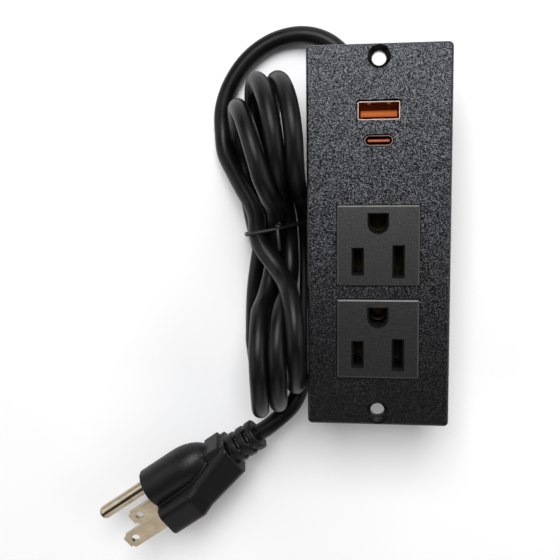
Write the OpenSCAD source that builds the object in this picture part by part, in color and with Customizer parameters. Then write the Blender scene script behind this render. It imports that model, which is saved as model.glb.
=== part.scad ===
// Flush-mounting power strip with two grounded outlets, two charging ports, a tied cord and its plug.
// It lies on its back: +X across the plate, +Y toward the cord end, +Z out of the face, in millimetres.
// The origin is the middle of the rear housing's back.

/* [Face plate] */
// Width of the face plate
plate_width = 45; // [44:0.5:50]
// Length of the face plate
plate_length = 120; // [119:0.5:130]
// Height of the plate's rim above the mounting face
plate_height = 6.5; // [6:0.1:8]
// Thickness of the plate's front wall
plate_wall = 2.5; // [2.2:0.1:3]
// Thickness of the plate's rim
rim_wall = 2; // [1.5:0.1:2.4]
// Corner radius of the plate
plate_corner = 1.5; // [1.2:0.1:3]
// Rounding of the plate's front edge
plate_edge = 0.7; // [0.4:0.1:1]
// Distance of a mounting screw from the plate's end
screw_margin = 4; // [3.8:0.1:4.5]
// Bore of a mounting screw hole
screw_bore = 4.5; // [4:0.1:5]
// Diameter of the screw head recess
screw_head = 7.2; // [6.8:0.1:8]
// Depth of the straight part of the head recess
head_recess = 2.2; // [1.5:0.1:2.6]

/* [Rear housing] */
// Width of the rear housing
housing_width = 34; // [33:0.5:36]
// Depth of the housing behind the mounting face
housing_depth = 26; // [25.5:0.5:30]
// Wall thickness of the housing
housing_wall = 2; // [1.6:0.1:2.2]
// Corner radius of the housing
housing_corner = 2.4; // [2.2:0.1:3]
// Upper end of the housing, behind the charging ports
housing_top = 45.5; // [45:0.5:48]
// Lower end of the housing, below the middle of the plate
housing_bottom = 49; // [48.8:0.1:50.5]
// Height of the step that lets the cord out
step_height = 13; // [12.5:0.5:13.5]
// Place of the step's wall
step_y = 36; // [35.5:0.5:37]

/* [Outlets] */
// Length of the raised square round an outlet, along the plate
socket_side = 25.4; // [25:0.1:26]
// Width of the raised square, across the plate
socket_width = 26; // [25.4:0.1:26.4]
// Height of the raised square above the plate
socket_raise = 1.6; // [1:0.1:2.2]
// Gap between a raised square and its window
socket_gap = 0.15; // [0.1:0.05:0.4]
// Middle of the upper outlet
socket_y = -1.9; // [-2.2:0.1:-1.5]
// Distance between the two outlets
socket_pitch = 29.7; // [29.4:0.1:30]
// Distance between the two flat slots
blade_spacing = 12.7; // [12.5:0.1:12.9]
// Distance from the slots' line to the earth hole
ground_offset = 11.89; // [11.8:0.01:12]
// Drop of the slots' line below the middle of the square
slot_drop = 5.05; // [4.8:0.05:5.3]
// Width of a flat slot
slot_width = 2.6; // [2.4:0.1:2.8]
// Length of the live slot
hot_slot = 7.5; // [7.2:0.1:7.8]
// Length of the neutral slot
neutral_slot = 9.1; // [8.8:0.1:9.3]
// Width of the earth hole
ground_hole = 5.4; // [5.2:0.1:5.6]
// Width of the lead-in round slots and holes
slot_chamfer = 0.65; // [0.4:0.05:0.7]
// Depth of the lead-in
slot_lead = 1.6; // [1.2:0.1:2]

/* [Charging ports] */
// Middle of the larger charging port
port_a_y = 39.8; // [39.5:0.1:40]
// Width of the larger port's shell
port_a_width = 13.1; // [13:0.1:13.3]
// Height of the larger port's shell
port_a_height = 5.7; // [5.6:0.1:5.9]
// Middle of the smaller charging port
port_c_y = 30.65; // [30.3:0.05:31]
// Width of the smaller port's shell
port_c_width = 8.94; // [8.9:0.01:9]
// Height of the smaller port's shell
port_c_height = 3.26; // [3.2:0.01:3.3]
// Sheet thickness of the shells
shell_sheet = 0.3; // [0.25:0.05:0.4]
// Depth of the shells' rims below the plate's face
port_sink = 0.9; // [0.4:0.1:1.2]
// Gap between a shell and its window
port_gap = 0.3; // [0.2:0.05:0.4]

/* [Circuit board] */
// Thickness of the charger's board
board_thick = 1.6; // [1.2:0.2:2]
// Height of the board above the back wall
board_rise = 14.8; // [14.6:0.1:15]
// Diameter of a board screw
board_screw = 2; // [1.8:0.1:2.2]
// Diameter of a housing screw
housing_screw = 3; // [2.6:0.1:3.2]

/* [Cord] */
// Diameter of the cord
cord_diameter = 6; // [5.8:0.1:6.2]
// Height of the cord's exit above the back
exit_z = 7.4; // [7.3:0.1:7.5]
// Sideways place of the cord's exit
exit_x = -5; // [-6:0.5:-4]
// Bend radius of the strain relief's tail
relief_bend = 24; // [22:1:26]
// Width of the tied hank
hank_width = 27; // [26:0.5:27.5]
// Height of the tied hank at its folds
hank_height = 40; // [38:0.5:41]
// Height of the tied hank under its tie
hank_waist = 20; // [18:0.5:21]
// Diameter of the tie's wire
tie_wire = 1.2; // [1:0.1:1.3]

/* [Plug] */
// Sideways place of the earth pin's root
plug_x = -82; // [-83:0.5:-81]
// Lengthways place of the earth pin's root
plug_y = -89.5; // [-90:0.5:-89]
// Direction the plug points
plug_yaw = 214.5; // [213:0.5:216]
// Roll of the plug off its side
plug_roll = 18; // [16:1:20]
// Half width of the plug across its blades
plug_half = 11.5; // [11:0.1:12]
// Width of a blade
blade_width = 6.35; // [6.2:0.05:6.5]
// Thickness of a blade
blade_thick = 1.5; // [1.4:0.05:1.6]
// Length of a blade outside the plug
blade_length = 18; // [16:0.1:18.2]
// Diameter of the earth pin
pin_diameter = 4.8; // [4.7:0.05:4.85]
// Length of the earth pin outside the plug
pin_length = 21.8; // [20:0.1:22]

/* [Hidden] */

$fn = 48;

// Heights shared by the pieces
face_z = housing_depth + plate_height;
wall_z = face_z - plate_wall;
cut = 1;
hair = 0.05;
ease_middle = 0.3;

// Mounting screws
mount_y = plate_length / 2 - screw_margin;
sink_depth = (screw_head - screw_bore) / 2;
boss_half = 5;
boss_reach = 4.5;
boss_room = 0.3;

// Housing and its closure
inner_half = housing_width / 2 - housing_wall;
step_floor = step_height + housing_wall;
closure_inset = 3.4;
closure_x = inner_half - closure_inset;
closure_y = 40.2;
closure_rise = 9;
closure_z = step_height + closure_rise;
closure_r = 3;
closure_head_r = 2.7;
closure_head_t = 1.8;
closure_play = 0.15;
closure_skin = 1;
closure_tip = 2;
cross_long = 2.6;
cross_wide = 0.6;
cross_deep = 1.6;
hook_x = 7;
hook_width = 7;
hook_thick = 1.3;
hook_gap = 0.1;
hook_nib = 1.3;
hook_drop = 10;
hook_z = wall_z - hook_drop;
hook_height = 2.6;
housing_edge = 0.8;
least_corner = 0.4;
rib_thick = 1.6;

// Outlets
socket_ys = [socket_y, socket_y - socket_pitch];
socket_top = face_z + socket_raise;
socket_depth = 16;
socket_back = wall_z - socket_depth;
socket_front = 3.5;
socket_corner = 0.4;
socket_edge = 0.6;
socket_lip = 1;
socket_lip_t = 1.6;
pocket_half_x = 2.6;
pocket_spare = 1.9;
ground_pocket_r = 3.5;
blade_x = blade_spacing / 2;

// Contacts
bus_thick = 1;
bus_width = 3.6;
bus_play = 0.1;
bus_top = 15;
bus_bottom_spare = 4;
clip_height = 6;
clip_leaf = 0.6;
clip_gap = 1.4;
clip_half = 3.2;
sleeve_r = 3;
sleeve_bore = 2.36;
sleeve_slit = 1;
base_thick = 5;
base_play = 0.3;
base_spare_low = 1.2;
base_spare_high = 0.8;
base_half_x = inner_half - base_play;
base_low = socket_y - socket_pitch - socket_side / 2 - base_spare_low;
base_high = socket_y + socket_side / 2 + base_spare_high;
base_z = socket_back - base_thick;

// Charger
board_z = housing_wall + board_rise;
board_top = board_z + board_thick;
board_room = 0.6;
board_half_x = inner_half - board_room;
board_low = 13.4;
board_post_room = 0.6;
board_shoulder = closure_y - closure_r - board_post_room;
board_end = 43.2;
board_neck = 8;
port_z = face_z - port_sink;
post_inset = 2.1;
post_x = board_half_x - post_inset;
post_low = 15.6;
post_high = 33;
post_r = 2.4;
board_screw_length = 7;
board_screw_head_r = 1.9;
board_screw_head_t = 1.4;
board_screw_tip = 1;
board_cross_long = 2;
board_cross_wide = 0.5;
board_cross_deep = 1.2;
screw_play = 0.05;

// Ports
port_window_lift = 0.15;
tongue_a_width = 11.1;
tongue_a_thick = 1.9;
tongue_a_drop = 0.95;
tongue_back = 4;
tongue_sink = 0.7;
contact_a_xs = [-3.5, -1, 1, 3.5];
contact_width = 1;
contact_thick = 0.12;
contact_length = 8;
dimple_x = 3.1;
dimple_r = 0.9;
dimple_sink = 1.7;
dimple_deep = 0.75;
contact_a_sink = 1.8;
contact_c_sink = 0.5;
port_skin = 0.01;
tongue_c_width = 6.7;
tongue_c_thick = 0.7;
pad_count = 12;
pad_pitch = 0.5;
pad_width = 0.26;
pad_thick = 0.08;
pad_length = 4;

// Parts on the board
core_inset = 5.7;
core_x = post_x - core_inset;
core_y = 22.2;
core_width = 12.4;
core_depth = 5.6;
core_height = 10;
core_leg = 2.2;
coil_play = 0.1;
coil_depth = 8.6;
can_places = [[3.8 - post_x, 22.4, 3.15, 9], [2.7 - post_x, 28.8, 2.5, 8]];
can_groove = 0.25;
can_groove_share = 1.4;
chip_places = [[-1.5, 17.4, 4.4, 3.6, 1.5], [-2.2, 27, 3.8, 3, 1.2]];

// Cord exit
relief_hole_r = 4.4;
relief_play = 0.1;
relief_inner_r = 5.2;
relief_inner_t = 2;
relief_collar_r = 5.2;
relief_collar_t = 2;
relief_root_r = 4.6;
relief_straight = 8.8;
relief_turn = 30;
relief_ribs = 4;
relief_core_r = 3.7;
relief_rib_r = 4.5;
relief_rib_drop = 0.15;
relief_rib_start = 0.4;
relief_rib_share = 0.5;
relief_overlap = 1;
wire_r = 1.1;
wire_sides = 8;
wire_face = step_y - housing_wall - relief_inner_t;
tab_y = 13.2;
wire_rise = 3;
wire_side = 2;
wire_up = 1.2;
wire_down = 2.2;
hot_route = [[-8.5, 27, 6.5], [-8, 20, 5.5], [-6.8, 15, 6.5]];
neutral_route = [[-3, 27, 4], [3, 21, 4], [6, 15.5, 5.5]];
ground_route = [[-2.4, 27, 8], [-1, 21, 8], [-0.2, 15.5, 8]];
link_r = 0.7;
link_y = 14.4;
bend_y = step_y + relief_straight;
lead_start = [exit_x - relief_bend * (1 - cos(relief_turn)), bend_y + relief_bend * sin(relief_turn), exit_z];
lead_heading = [-sin(relief_turn), cos(relief_turn), 0];

// Tied hank beside the housing
hank_half = hank_width / 2;
hank_room = 0.4;
hank_x = -plate_width / 2 - hank_room - hank_half;
hank_low = -59;
hank_high = 55;
fold_r = hank_height / 2;
dip_half = 27;
dip_drop = hank_height - hank_waist;
dip_r = (dip_half * dip_half + dip_drop * dip_drop) / (2 * dip_drop);
tie_y = 3;
tie_width = 2.4;
tie_room = 0.1;
tail_sides = 10;

// Route of the cord from the strain relief to the hank
lead_route = [[-12.6, 62, 6.2], [-18.6, 66.6, 5], [-27, 68.6, 4], [-36.5, 66.8, 3.2], [-45, 61.3, 3.05],
  [-51.3, 53, 3], [-54.5, 44, 3], [-54.6, 36, 3.2], [-53.4, 28.5, 5.5]];
lead_end = [hank_x - hank_half, 22.3, 8.8];

// Route of the cord from the hank to the plug
tail_z = 11.2;
tail_dip = asin((fold_r - tail_z) / fold_r);
tail_start = [-28.1, hank_low + fold_r * (1 - cos(tail_dip)), tail_z];
tail_route = [[-31.6, -61.9, 12.4]];
tail_lead = 5;
side_normal = [1, 0, 0];
tail_normal = [0, -cos(tail_dip), -sin(tail_dip)];

// Plug, in its own frame: X along the prongs, Y from the pin to the blades, Z across the blades
plug_corner = 3;
plug_far = 18;
plug_near = 6.3;
plug_front = 13;
plug_shoulder = 17;
plug_waist = 33;
plug_axis = 7;
plug_slice = 1;
shoulder_half = 10.2;
shoulder_far = 16.8;
shoulder_near = 5.6;
waist_half = 6.6;
waist_far = 14.6;
waist_near = 1.2;
hump_y = 2.4;
hump_r = 7.6;
hump_length = 14;
hump_taper = 13;
hump_steps = 10;
collar_start = 25;
collar_end = 31;
collar_half = 5.6;
collar_drop = 1.2;
collar_corner = 0.6;
tail_end = 44;
tail_thin_r = 3.7;
tail_thick_r = 4.2;
tail_rib_r = 5.6;
tail_rib_t = 2.4;
tail_rib_pitch = 3.9;
tail_ribs = 3;
tail_web = 2.6;
tail_web_r = 5.2;
bridge_length = 7;
bridge_half_z = 9;
bridge_stem_z = 4.4;
bridge_near = -2.9;
bridge_step = 8;
bridge_far = 16;
bridge_play = 0.05;
bridge_skin = 1.5;
blade_inside = 8.5;
blade_hole_r = 1.55;
blade_hole_back = 3.6;
pin_root = 8.5;
pin_root_r = 2;
tip_turn = 32;
tip_long = 2.4;
tip_wide = 1.6;
plug_z = (plug_far - plug_corner) * sin(plug_roll) + (plug_half - plug_corner) * cos(plug_roll) + plug_corner;
plug_turn = [-plug_roll, 0, plug_yaw];

// Colours
plastic_dark = [0.14, 0.14, 0.15];
plastic_soft = [0.2, 0.2, 0.21];
plastic_rear = [0.11, 0.11, 0.12];
insulator = [0.82, 0.8, 0.74];
brass = [0.78, 0.62, 0.32];
steel = [0.72, 0.7, 0.7];
orange = [0.95, 0.42, 0.08];
gold = [0.86, 0.68, 0.3];
board_green = [0.08, 0.36, 0.2];
ferrite = [0.22, 0.22, 0.24];
tape = [0.9, 0.76, 0.2];
can_blue = [0.14, 0.16, 0.3];
chip_black = [0.07, 0.07, 0.08];
wire_black = [0.06, 0.06, 0.06];
wire_white = [0.92, 0.92, 0.9];
wire_green = [0.1, 0.5, 0.2];
cord_black = [0.09, 0.09, 0.1];
prong = [0.83, 0.77, 0.62];

// A rectangle with round corners
module round_rect(w, l, r) {
  square([w - 2 * r, l], center = true);
  square([w, l - 2 * r], center = true);
  for (x = [-1, 1], y = [-1, 1])
    translate([x * (w / 2 - r), y * (l / 2 - r)])
      circle(r);
}

// An upright slab with round corners between two heights
module slab(w, l, r, low, high) {
  translate([0, 0, low])
    linear_extrude(high - low)
      round_rect(w, l, r);
}

// A box given by its two opposite corners
module span(low, high) {
  translate(low)
    cube(high - low);
}

// A slab whose upper edge is rounded in two facets
module eased_slab(w, l, r, low, high, ease) {
  $fn = 32;
  middle = ease_middle * ease;
  hull() {
    slab(w, l, r, low, high - ease);
    slab(w - 2 * middle, l - 2 * middle, r - middle, low, high - middle);
    slab(w - 2 * ease, l - 2 * ease, r - ease / 2, low, high);
  }
}

// A rod between two heights
module rod(x, y, r, low, high) {
  translate([x, y, low])
    cylinder(r = r, h = high - low);
}

// The earth hole's outline, flat above and round below
module earth_outline(w) {
  circle(d = w);
  translate([-w / 2, 0])
    square([w, w / 2]);
}

// Unit vector
function unit(v) = v / norm(v);

// One ring of a swept tube, in the plane that has the given normal
function ring(p, t, n, r, sides) =
  let (
    side = unit(cross(t, abs(t[2]) < 0.9 ? [0, 0, 1] : [1, 0, 0])),
    up = cross(side, t)
  )
  [for (i = [0 : sides - 1])
    let (q = r * (cos(360 * i / sides) * side + sin(360 * i / sides) * up))
    p + q - t * (q * n) / (t * n)];

// A round tube swept along a route, its two end faces cut square to the given normals
module tube(route, r, sides, first, last, first_cut, last_cut) {
  count = len(route);
  heading = [for (i = [0 : count - 1])
    i == 0 ? first : i == count - 1 ? last : unit(route[i + 1] - route[i - 1])];
  rings = [for (i = [0 : count - 1])
    ring(route[i], heading[i], i == 0 ? first_cut : i == count - 1 ? last_cut : heading[i], r, sides)];
  points = [for (one = rings, p = one) p];
  walls = [for (i = [0 : count - 2], j = [0 : sides - 1])
    let (a = i * sides + j, b = i * sides + (j + 1) % sides)
    each [[a, b, b + sides], [a, b + sides, a + sides]]];
  start = [for (j = [sides - 1 : -1 : 0]) j];
  stop = [for (j = [0 : sides - 1]) (count - 1) * sides + j];
  polyhedron(points, concat([start], walls, [stop]), convexity = 6);
}

// The plug's own frame set on the surface
module plug_place() {
  translate([plug_x, plug_y, plug_z])
    rotate(plug_turn)
      children();
}

module face_plate() {
  color(plastic_dark)
  difference() {
    union() {
      difference() {
        eased_slab(plate_width, plate_length, plate_corner, housing_depth, face_z, plate_edge);
        slab(plate_width - 2 * rim_wall, plate_length - 2 * rim_wall, plate_corner / 2,
          housing_depth - cut, wall_z);
      }
      for (s = [-1, 1]) {
        screw_boss(s);
        rod(s * closure_x, closure_y, closure_r, closure_z, wall_z + hair);
        hook(s * hook_x);
      }
    }
    for (s = [-1, 1]) {
      rod(0, s * mount_y, screw_bore / 2, housing_depth - cut, face_z + cut);
      rod(0, s * mount_y, screw_head / 2, face_z - head_recess, face_z + cut);
      translate([0, s * mount_y, face_z - head_recess - sink_depth])
        cylinder(r1 = screw_bore / 2, r2 = screw_head / 2, h = sink_depth);
      rod(s * closure_x, closure_y, housing_screw / 2 + screw_play, closure_z - cut, wall_z - closure_skin);
    }
    for (y = socket_ys)
      translate([0, y, 0])
        slab(socket_width + 2 * socket_gap, socket_side + 2 * socket_gap, socket_corner,
          wall_z - cut, face_z + cut);
    translate([0, port_a_y + port_window_lift, 0])
      slab(port_a_width + 2 * port_gap, port_a_height + 2 * port_gap, 2 * shell_sheet,
        wall_z - cut, face_z + cut);
    translate([0, port_c_y, 0])
      port_c_outline(port_gap, wall_z - cut, face_z + cut);
  }
}

// The block round a mounting screw hole, at one end of the plate
module screw_boss(s) {
  near = max(mount_y - boss_reach, max(housing_top, housing_bottom) + boss_room);
  far = plate_length / 2 - rim_wall / 2;
  translate([0, s * (near + far) / 2, (housing_depth + wall_z + hair) / 2])
    cube([2 * boss_half, far - near, wall_z + hair - housing_depth], center = true);
}

// A hook of the face plate that catches in the housing's lower end
module hook(x) {
  outside = -housing_bottom + housing_wall + hook_gap;
  span([x - hook_width / 2, outside, hook_z], [x + hook_width / 2, outside + hook_thick, wall_z + hair]);
  span([x - hook_width / 2, outside - hook_nib, hook_z],
    [x + hook_width / 2, outside + hair, hook_z + hook_height]);
}

module rear_housing() {
  color(plastic_rear)
  difference() {
    union() {
      difference() {
        housing_form(0, 0, step_height, wall_z, housing_edge);
        housing_form(housing_wall, housing_wall, step_floor, wall_z + cut, housing_edge / 2);
      }
      for (y = [base_low + rib_thick, socket_y - socket_pitch / 2, base_high - 2 * rib_thick])
        span([-inner_half - hair, y, housing_wall - hair], [inner_half + hair, y + rib_thick, base_z]);
      for (s = [-1, 1]) {
        rod(s * closure_x, closure_y, closure_r, step_height + hair, closure_z);
        for (y = [post_low, post_high])
          rod(s * post_x, y, post_r, housing_wall - hair, board_z);
      }
    }
    for (s = [-1, 1]) {
      rod(s * closure_x, closure_y, closure_head_r + closure_play, step_height - cut,
        step_height + closure_head_t + closure_play);
      rod(s * closure_x, closure_y, housing_screw / 2 + closure_play, step_height - cut, closure_z + cut);
      for (y = [post_low, post_high])
        rod(s * post_x, y, board_screw / 2 + screw_play, board_z - board_screw_length, board_z + cut);
      span([s * hook_x - hook_width / 2 - hook_gap, -housing_bottom - cut, hook_z - hook_gap],
        [s * hook_x + hook_width / 2 + hook_gap, -housing_bottom + housing_wall + cut,
          hook_z + hook_height + hook_gap]);
    }
    translate([exit_x, step_y + cut, exit_z])
      rotate([90, 0, 0])
        cylinder(r = relief_hole_r, h = housing_wall + 2 * cut);
  }
}

// The housing's form: the deep box and the shallower end over the cord, drawn in by a margin
module housing_form(inset, floor_z, step_z, top, ease) {
  low = -housing_bottom + inset;
  deep = step_y - inset;
  high = housing_top - inset;
  width = housing_width - 2 * inset;
  r = max(housing_corner - inset, least_corner);
  translate([0, (low + deep) / 2, 0])
    mirror([0, 0, 1])
      eased_slab(width, deep - low, r, -top, -floor_z, ease);
  translate([0, (low + high) / 2, 0])
    mirror([0, 0, 1])
      eased_slab(width, high - low, r, -top, -step_z, ease);
}

module housing_screws() {
  color(steel)
  for (s = [-1, 1])
    difference() {
      union() {
        rod(s * closure_x, closure_y, closure_head_r, step_height, step_height + closure_head_t);
        rod(s * closure_x, closure_y, housing_screw / 2, step_height + closure_head_t - hair,
          wall_z - closure_tip);
      }
      for (turn = [0, 90])
        translate([s * closure_x, closure_y, step_height])
          rotate(turn)
            cube([cross_long, cross_wide, cross_deep], center = true);
    }
}

// One outlet: the raised square, its lip behind the plate and the pockets for the contacts
module socket(y) {
  difference() {
    union() {
      translate([0, y, 0])
        eased_slab(socket_width, socket_side, socket_corner, socket_back, socket_top, socket_edge);
      translate([0, y, 0])
        slab(socket_width + 2 * socket_lip, socket_side + 2 * socket_lip, socket_corner,
          wall_z - socket_lip_t, wall_z);
    }
    slot(-blade_x, y - slot_drop, hot_slot);
    slot(blade_x, y - slot_drop, neutral_slot);
    earth_hole(y - slot_drop + ground_offset);
    pocket(-blade_x, y - slot_drop, hot_slot);
    pocket(blade_x, y - slot_drop, neutral_slot);
    rod(0, y - slot_drop + ground_offset, ground_pocket_r, socket_back - cut, socket_top - socket_front);
  }
}

module slot(x, y, length) {
  span([x - slot_width / 2, y - length / 2, socket_back],
    [x + slot_width / 2, y + length / 2, socket_top + cut]);
  translate([x, y, socket_top])
    hull() {
      cube([slot_width, length, 2 * slot_lead], center = true);
      cube([slot_width + 2 * slot_chamfer, length + 2 * slot_chamfer, hair], center = true);
    }
}

module earth_hole(y) {
  $fn = 32;
  translate([0, y, socket_back])
    linear_extrude(socket_top - socket_back + cut)
      earth_outline(ground_hole);
  translate([0, y, socket_top])
    hull() {
      translate([0, 0, -slot_lead])
        linear_extrude(2 * slot_lead)
          earth_outline(ground_hole);
      translate([0, 0, -hair / 2])
        linear_extrude(hair)
          earth_outline(ground_hole + 2 * slot_chamfer);
    }
}

module pocket(x, y, length) {
  half = length / 2 + pocket_spare / 2;
  span([x - pocket_half_x, y - half, socket_back - cut],
    [x + pocket_half_x, y + half, socket_top - socket_front]);
}

module socket_upper() {
  color(plastic_soft)
    socket(socket_ys[0]);
}

module socket_lower() {
  color(plastic_soft)
    socket(socket_ys[1]);
}

module contact_base() {
  color(insulator)
  difference() {
    span([-base_half_x, base_low, base_z], [base_half_x, base_high, socket_back]);
    for (x = [-blade_x, 0, blade_x])
      span([x - bus_width / 2 - bus_play, bus_low(x) - bus_play, socket_back - bus_thick],
        [x + bus_width / 2 + bus_play, base_high + cut, socket_back + cut]);
  }
}

// Lower end of the bar that stands at a given place across the strip
function bus_low(x) = socket_ys[1] - slot_drop - bus_bottom_spare + (x == 0 ? ground_offset : 0);

// A bar in the base's groove
module bus_bar(x) {
  span([x - bus_width / 2, bus_low(x), socket_back - bus_thick], [x + bus_width / 2, bus_top, socket_back]);
}

// Two leaves that grip a flat blade
module blade_clip(x, y) {
  for (s = [-1, 1])
    span([x + s * (clip_gap + clip_leaf) / 2 - clip_leaf / 2, y - clip_half, socket_back - hair],
      [x + s * (clip_gap + clip_leaf) / 2 + clip_leaf / 2, y + clip_half, socket_back + clip_height]);
}

module hot_bus() {
  color(brass) {
    bus_bar(-blade_x);
    for (y = socket_ys)
      blade_clip(-blade_x, y - slot_drop);
  }
}

module neutral_bus() {
  color(brass) {
    bus_bar(blade_x);
    for (y = socket_ys)
      blade_clip(blade_x, y - slot_drop);
  }
}

module ground_bus() {
  color(brass) {
    bus_bar(0);
    for (y = socket_ys)
      translate([0, y - slot_drop + ground_offset, socket_back - hair])
        difference() {
          cylinder(r = sleeve_r, h = clip_height);
          translate([0, 0, hair])
            cylinder(r = sleeve_bore, h = clip_height);
          translate([-sleeve_slit / 2, 0, hair])
            cube([sleeve_slit, 2 * sleeve_r, clip_height]);
        }
  }
}

module usb_board() {
  color(board_green)
  difference() {
    union() {
      span([-board_half_x, board_low, board_z], [board_half_x, board_shoulder, board_top]);
      span([-board_neck, board_shoulder - hair, board_z], [board_neck, board_end, board_top]);
    }
    for (s = [-1, 1], y = [post_low, post_high])
      rod(s * post_x, y, board_screw / 2 + 2 * screw_play, board_z - cut, board_top + cut);
  }
}

module usb_a_shell() {
  color(steel) {
    translate([0, port_a_y, 0])
      difference() {
        slab(port_a_width, port_a_height, 2 * shell_sheet, board_top, port_z);
        slab(port_a_width - 2 * shell_sheet, port_a_height - 2 * shell_sheet, shell_sheet,
          board_top - cut, port_z + cut);
      }
    for (s = [-1, 1])
      translate([s * dimple_x, port_a_y + port_a_height / 2 - shell_sheet + dimple_r - dimple_deep,
        port_z - dimple_sink])
        intersection() {
          sphere(dimple_r);
          translate([-dimple_r, -dimple_r, -dimple_r])
            cube([2 * dimple_r, dimple_deep + hair, 2 * dimple_r]);
        }
  }
}

module usb_a_tongue() {
  inside_w = port_a_width - 2 * shell_sheet - 2 * port_skin;
  inside_h = port_a_height - 2 * shell_sheet - 2 * port_skin;
  color(orange) {
    span([-inside_w / 2, port_a_y - inside_h / 2, board_top],
      [inside_w / 2, port_a_y + inside_h / 2, board_top + tongue_back]);
    span([-tongue_a_width / 2, port_a_y - tongue_a_drop - tongue_a_thick / 2, board_top + tongue_back - hair],
      [tongue_a_width / 2, port_a_y - tongue_a_drop + tongue_a_thick / 2, port_z - tongue_sink]);
  }
}

module usb_a_contacts() {
  face_y = port_a_y - tongue_a_drop + tongue_a_thick / 2;
  top = port_z - tongue_sink - contact_a_sink;
  color(gold)
  for (x = contact_a_xs)
    span([x - contact_width / 2, face_y, top - contact_length],
      [x + contact_width / 2, face_y + contact_thick, top]);
}

// The smaller port's rounded outline, grown by a margin
module port_c_outline(grow, low, high) {
  slab(port_c_width + 2 * grow, port_c_height + 2 * grow, port_c_height / 2 + grow - port_skin, low, high);
}

module usb_c_shell() {
  color(steel)
  translate([0, port_c_y, 0])
    difference() {
      port_c_outline(0, board_top, port_z);
      port_c_outline(-shell_sheet, board_top - cut, port_z + cut);
    }
}

module usb_c_tongue() {
  color(orange)
  translate([0, port_c_y, 0]) {
    port_c_outline(-shell_sheet - port_skin, board_top, board_top + tongue_back);
    span([-tongue_c_width / 2, -tongue_c_thick / 2, board_top + tongue_back - hair],
      [tongue_c_width / 2, tongue_c_thick / 2, port_z - tongue_sink]);
  }
}

module usb_c_contacts() {
  top = port_z - tongue_sink - contact_c_sink;
  color(gold)
  for (i = [0 : pad_count - 1], s = [-1, 1])
    translate([(i - (pad_count - 1) / 2) * pad_pitch, port_c_y + s * (tongue_c_thick + pad_thick) / 2,
      top - pad_length / 2])
      cube([pad_width, pad_thick, pad_length], center = true);
}

module transformer_core() {
  color(ferrite)
  translate([core_x, core_y, board_top])
    difference() {
      span([-core_width / 2, -core_depth / 2, 0], [core_width / 2, core_depth / 2, core_height]);
      span([-core_width / 2 + core_leg, -core_depth, core_leg],
        [core_width / 2 - core_leg, core_depth, core_height - core_leg]);
    }
}

module transformer_coil() {
  color(tape)
  translate([core_x, core_y, board_top])
    span([-core_width / 2 + core_leg, -coil_depth / 2, core_leg],
      [core_width / 2 - core_leg, coil_depth / 2, core_height - core_leg - coil_play]);
}

module capacitors() {
  color(can_blue)
  for (c = can_places)
    translate([c[0], c[1], board_top])
      difference() {
        cylinder(r = c[2], h = c[3]);
        for (turn = [0, 90])
          translate([0, 0, c[3]])
            rotate(turn)
              cube([can_groove_share * c[2], can_groove, 2 * can_groove], center = true);
      }
}

module charger_chips() {
  color(chip_black)
  for (c = chip_places)
    translate([c[0], c[1], board_top + c[4] / 2])
      cube([c[2], c[3], c[4]], center = true);
}

module board_screws() {
  color(steel)
  for (s = [-1, 1], y = [post_low, post_high])
    difference() {
      union() {
        rod(s * post_x, y, board_screw_head_r, board_top, board_top + board_screw_head_t);
        rod(s * post_x, y, board_screw / 2, board_z - board_screw_length + board_screw_tip, board_top + hair);
      }
      for (turn = [0, 90])
        translate([s * post_x, y, board_top + board_screw_head_t])
          rotate(turn)
            cube([board_cross_long, board_cross_wide, board_cross_deep], center = true);
    }
}

module board_links() {
  color(brass)
  for (s = [-1, 1])
    rod(s * blade_x, link_y, link_r, socket_back, board_z);
}

// A wire from the strain relief's inner face to a bar's end
module inner_wire(from, middle, x) {
  low = socket_back - bus_thick;
  route = concat([from], middle, [[x, tab_y, low - wire_rise], [x, tab_y, low]]);
  tube(route, wire_r, wire_sides, [0, -1, 0], [0, 0, 1], [0, -1, 0], [0, 0, 1]);
}

module hot_wire() {
  color(wire_black)
    inner_wire([exit_x - wire_side, wire_face, exit_z + wire_up], hot_route, -blade_x);
}

module neutral_wire() {
  color(wire_white)
    inner_wire([exit_x, wire_face, exit_z - wire_down], neutral_route, blade_x);
}

module ground_wire() {
  color(wire_green)
    inner_wire([exit_x + wire_side, wire_face, exit_z + wire_up], ground_route, 0);
}

module strain_relief() {
  inner_y = step_y - housing_wall;
  color(cord_black) {
    translate([exit_x, inner_y, exit_z])
      rotate([90, 0, 0])
        cylinder(r = relief_inner_r, h = relief_inner_t);
    translate([exit_x, step_y, exit_z])
      rotate([90, 0, 0])
        cylinder(r = relief_hole_r - relief_play, h = housing_wall + hair);
    translate([exit_x, step_y + relief_collar_t, exit_z])
      rotate([90, 0, 0])
        cylinder(r = relief_collar_r, h = relief_collar_t);
    translate([exit_x, bend_y, exit_z])
      rotate([90, 0, 0])
        cylinder(r1 = relief_core_r, r2 = relief_root_r, h = relief_straight - relief_collar_t + hair);
    translate([exit_x - relief_bend, bend_y, exit_z])
      rotate(-relief_overlap)
        rotate_extrude(angle = relief_turn + relief_overlap)
          translate([relief_bend, 0])
            circle(relief_core_r - hair);
    translate([exit_x - relief_bend, bend_y, exit_z])
      for (i = [0 : relief_ribs - 1])
        rotate((i + relief_rib_start) * relief_turn / relief_ribs)
          rotate_extrude(angle = relief_rib_share * relief_turn / relief_ribs)
            translate([relief_bend, 0])
              circle(relief_rib_r - i * relief_rib_drop);
  }
}

module cord_lead() {
  color(cord_black)
    tube(concat([lead_start], lead_route, [lead_end]), cord_diameter / 2, tail_sides, lead_heading,
      unit(lead_end - lead_route[len(lead_route) - 1]), lead_heading, side_normal);
}

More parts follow.
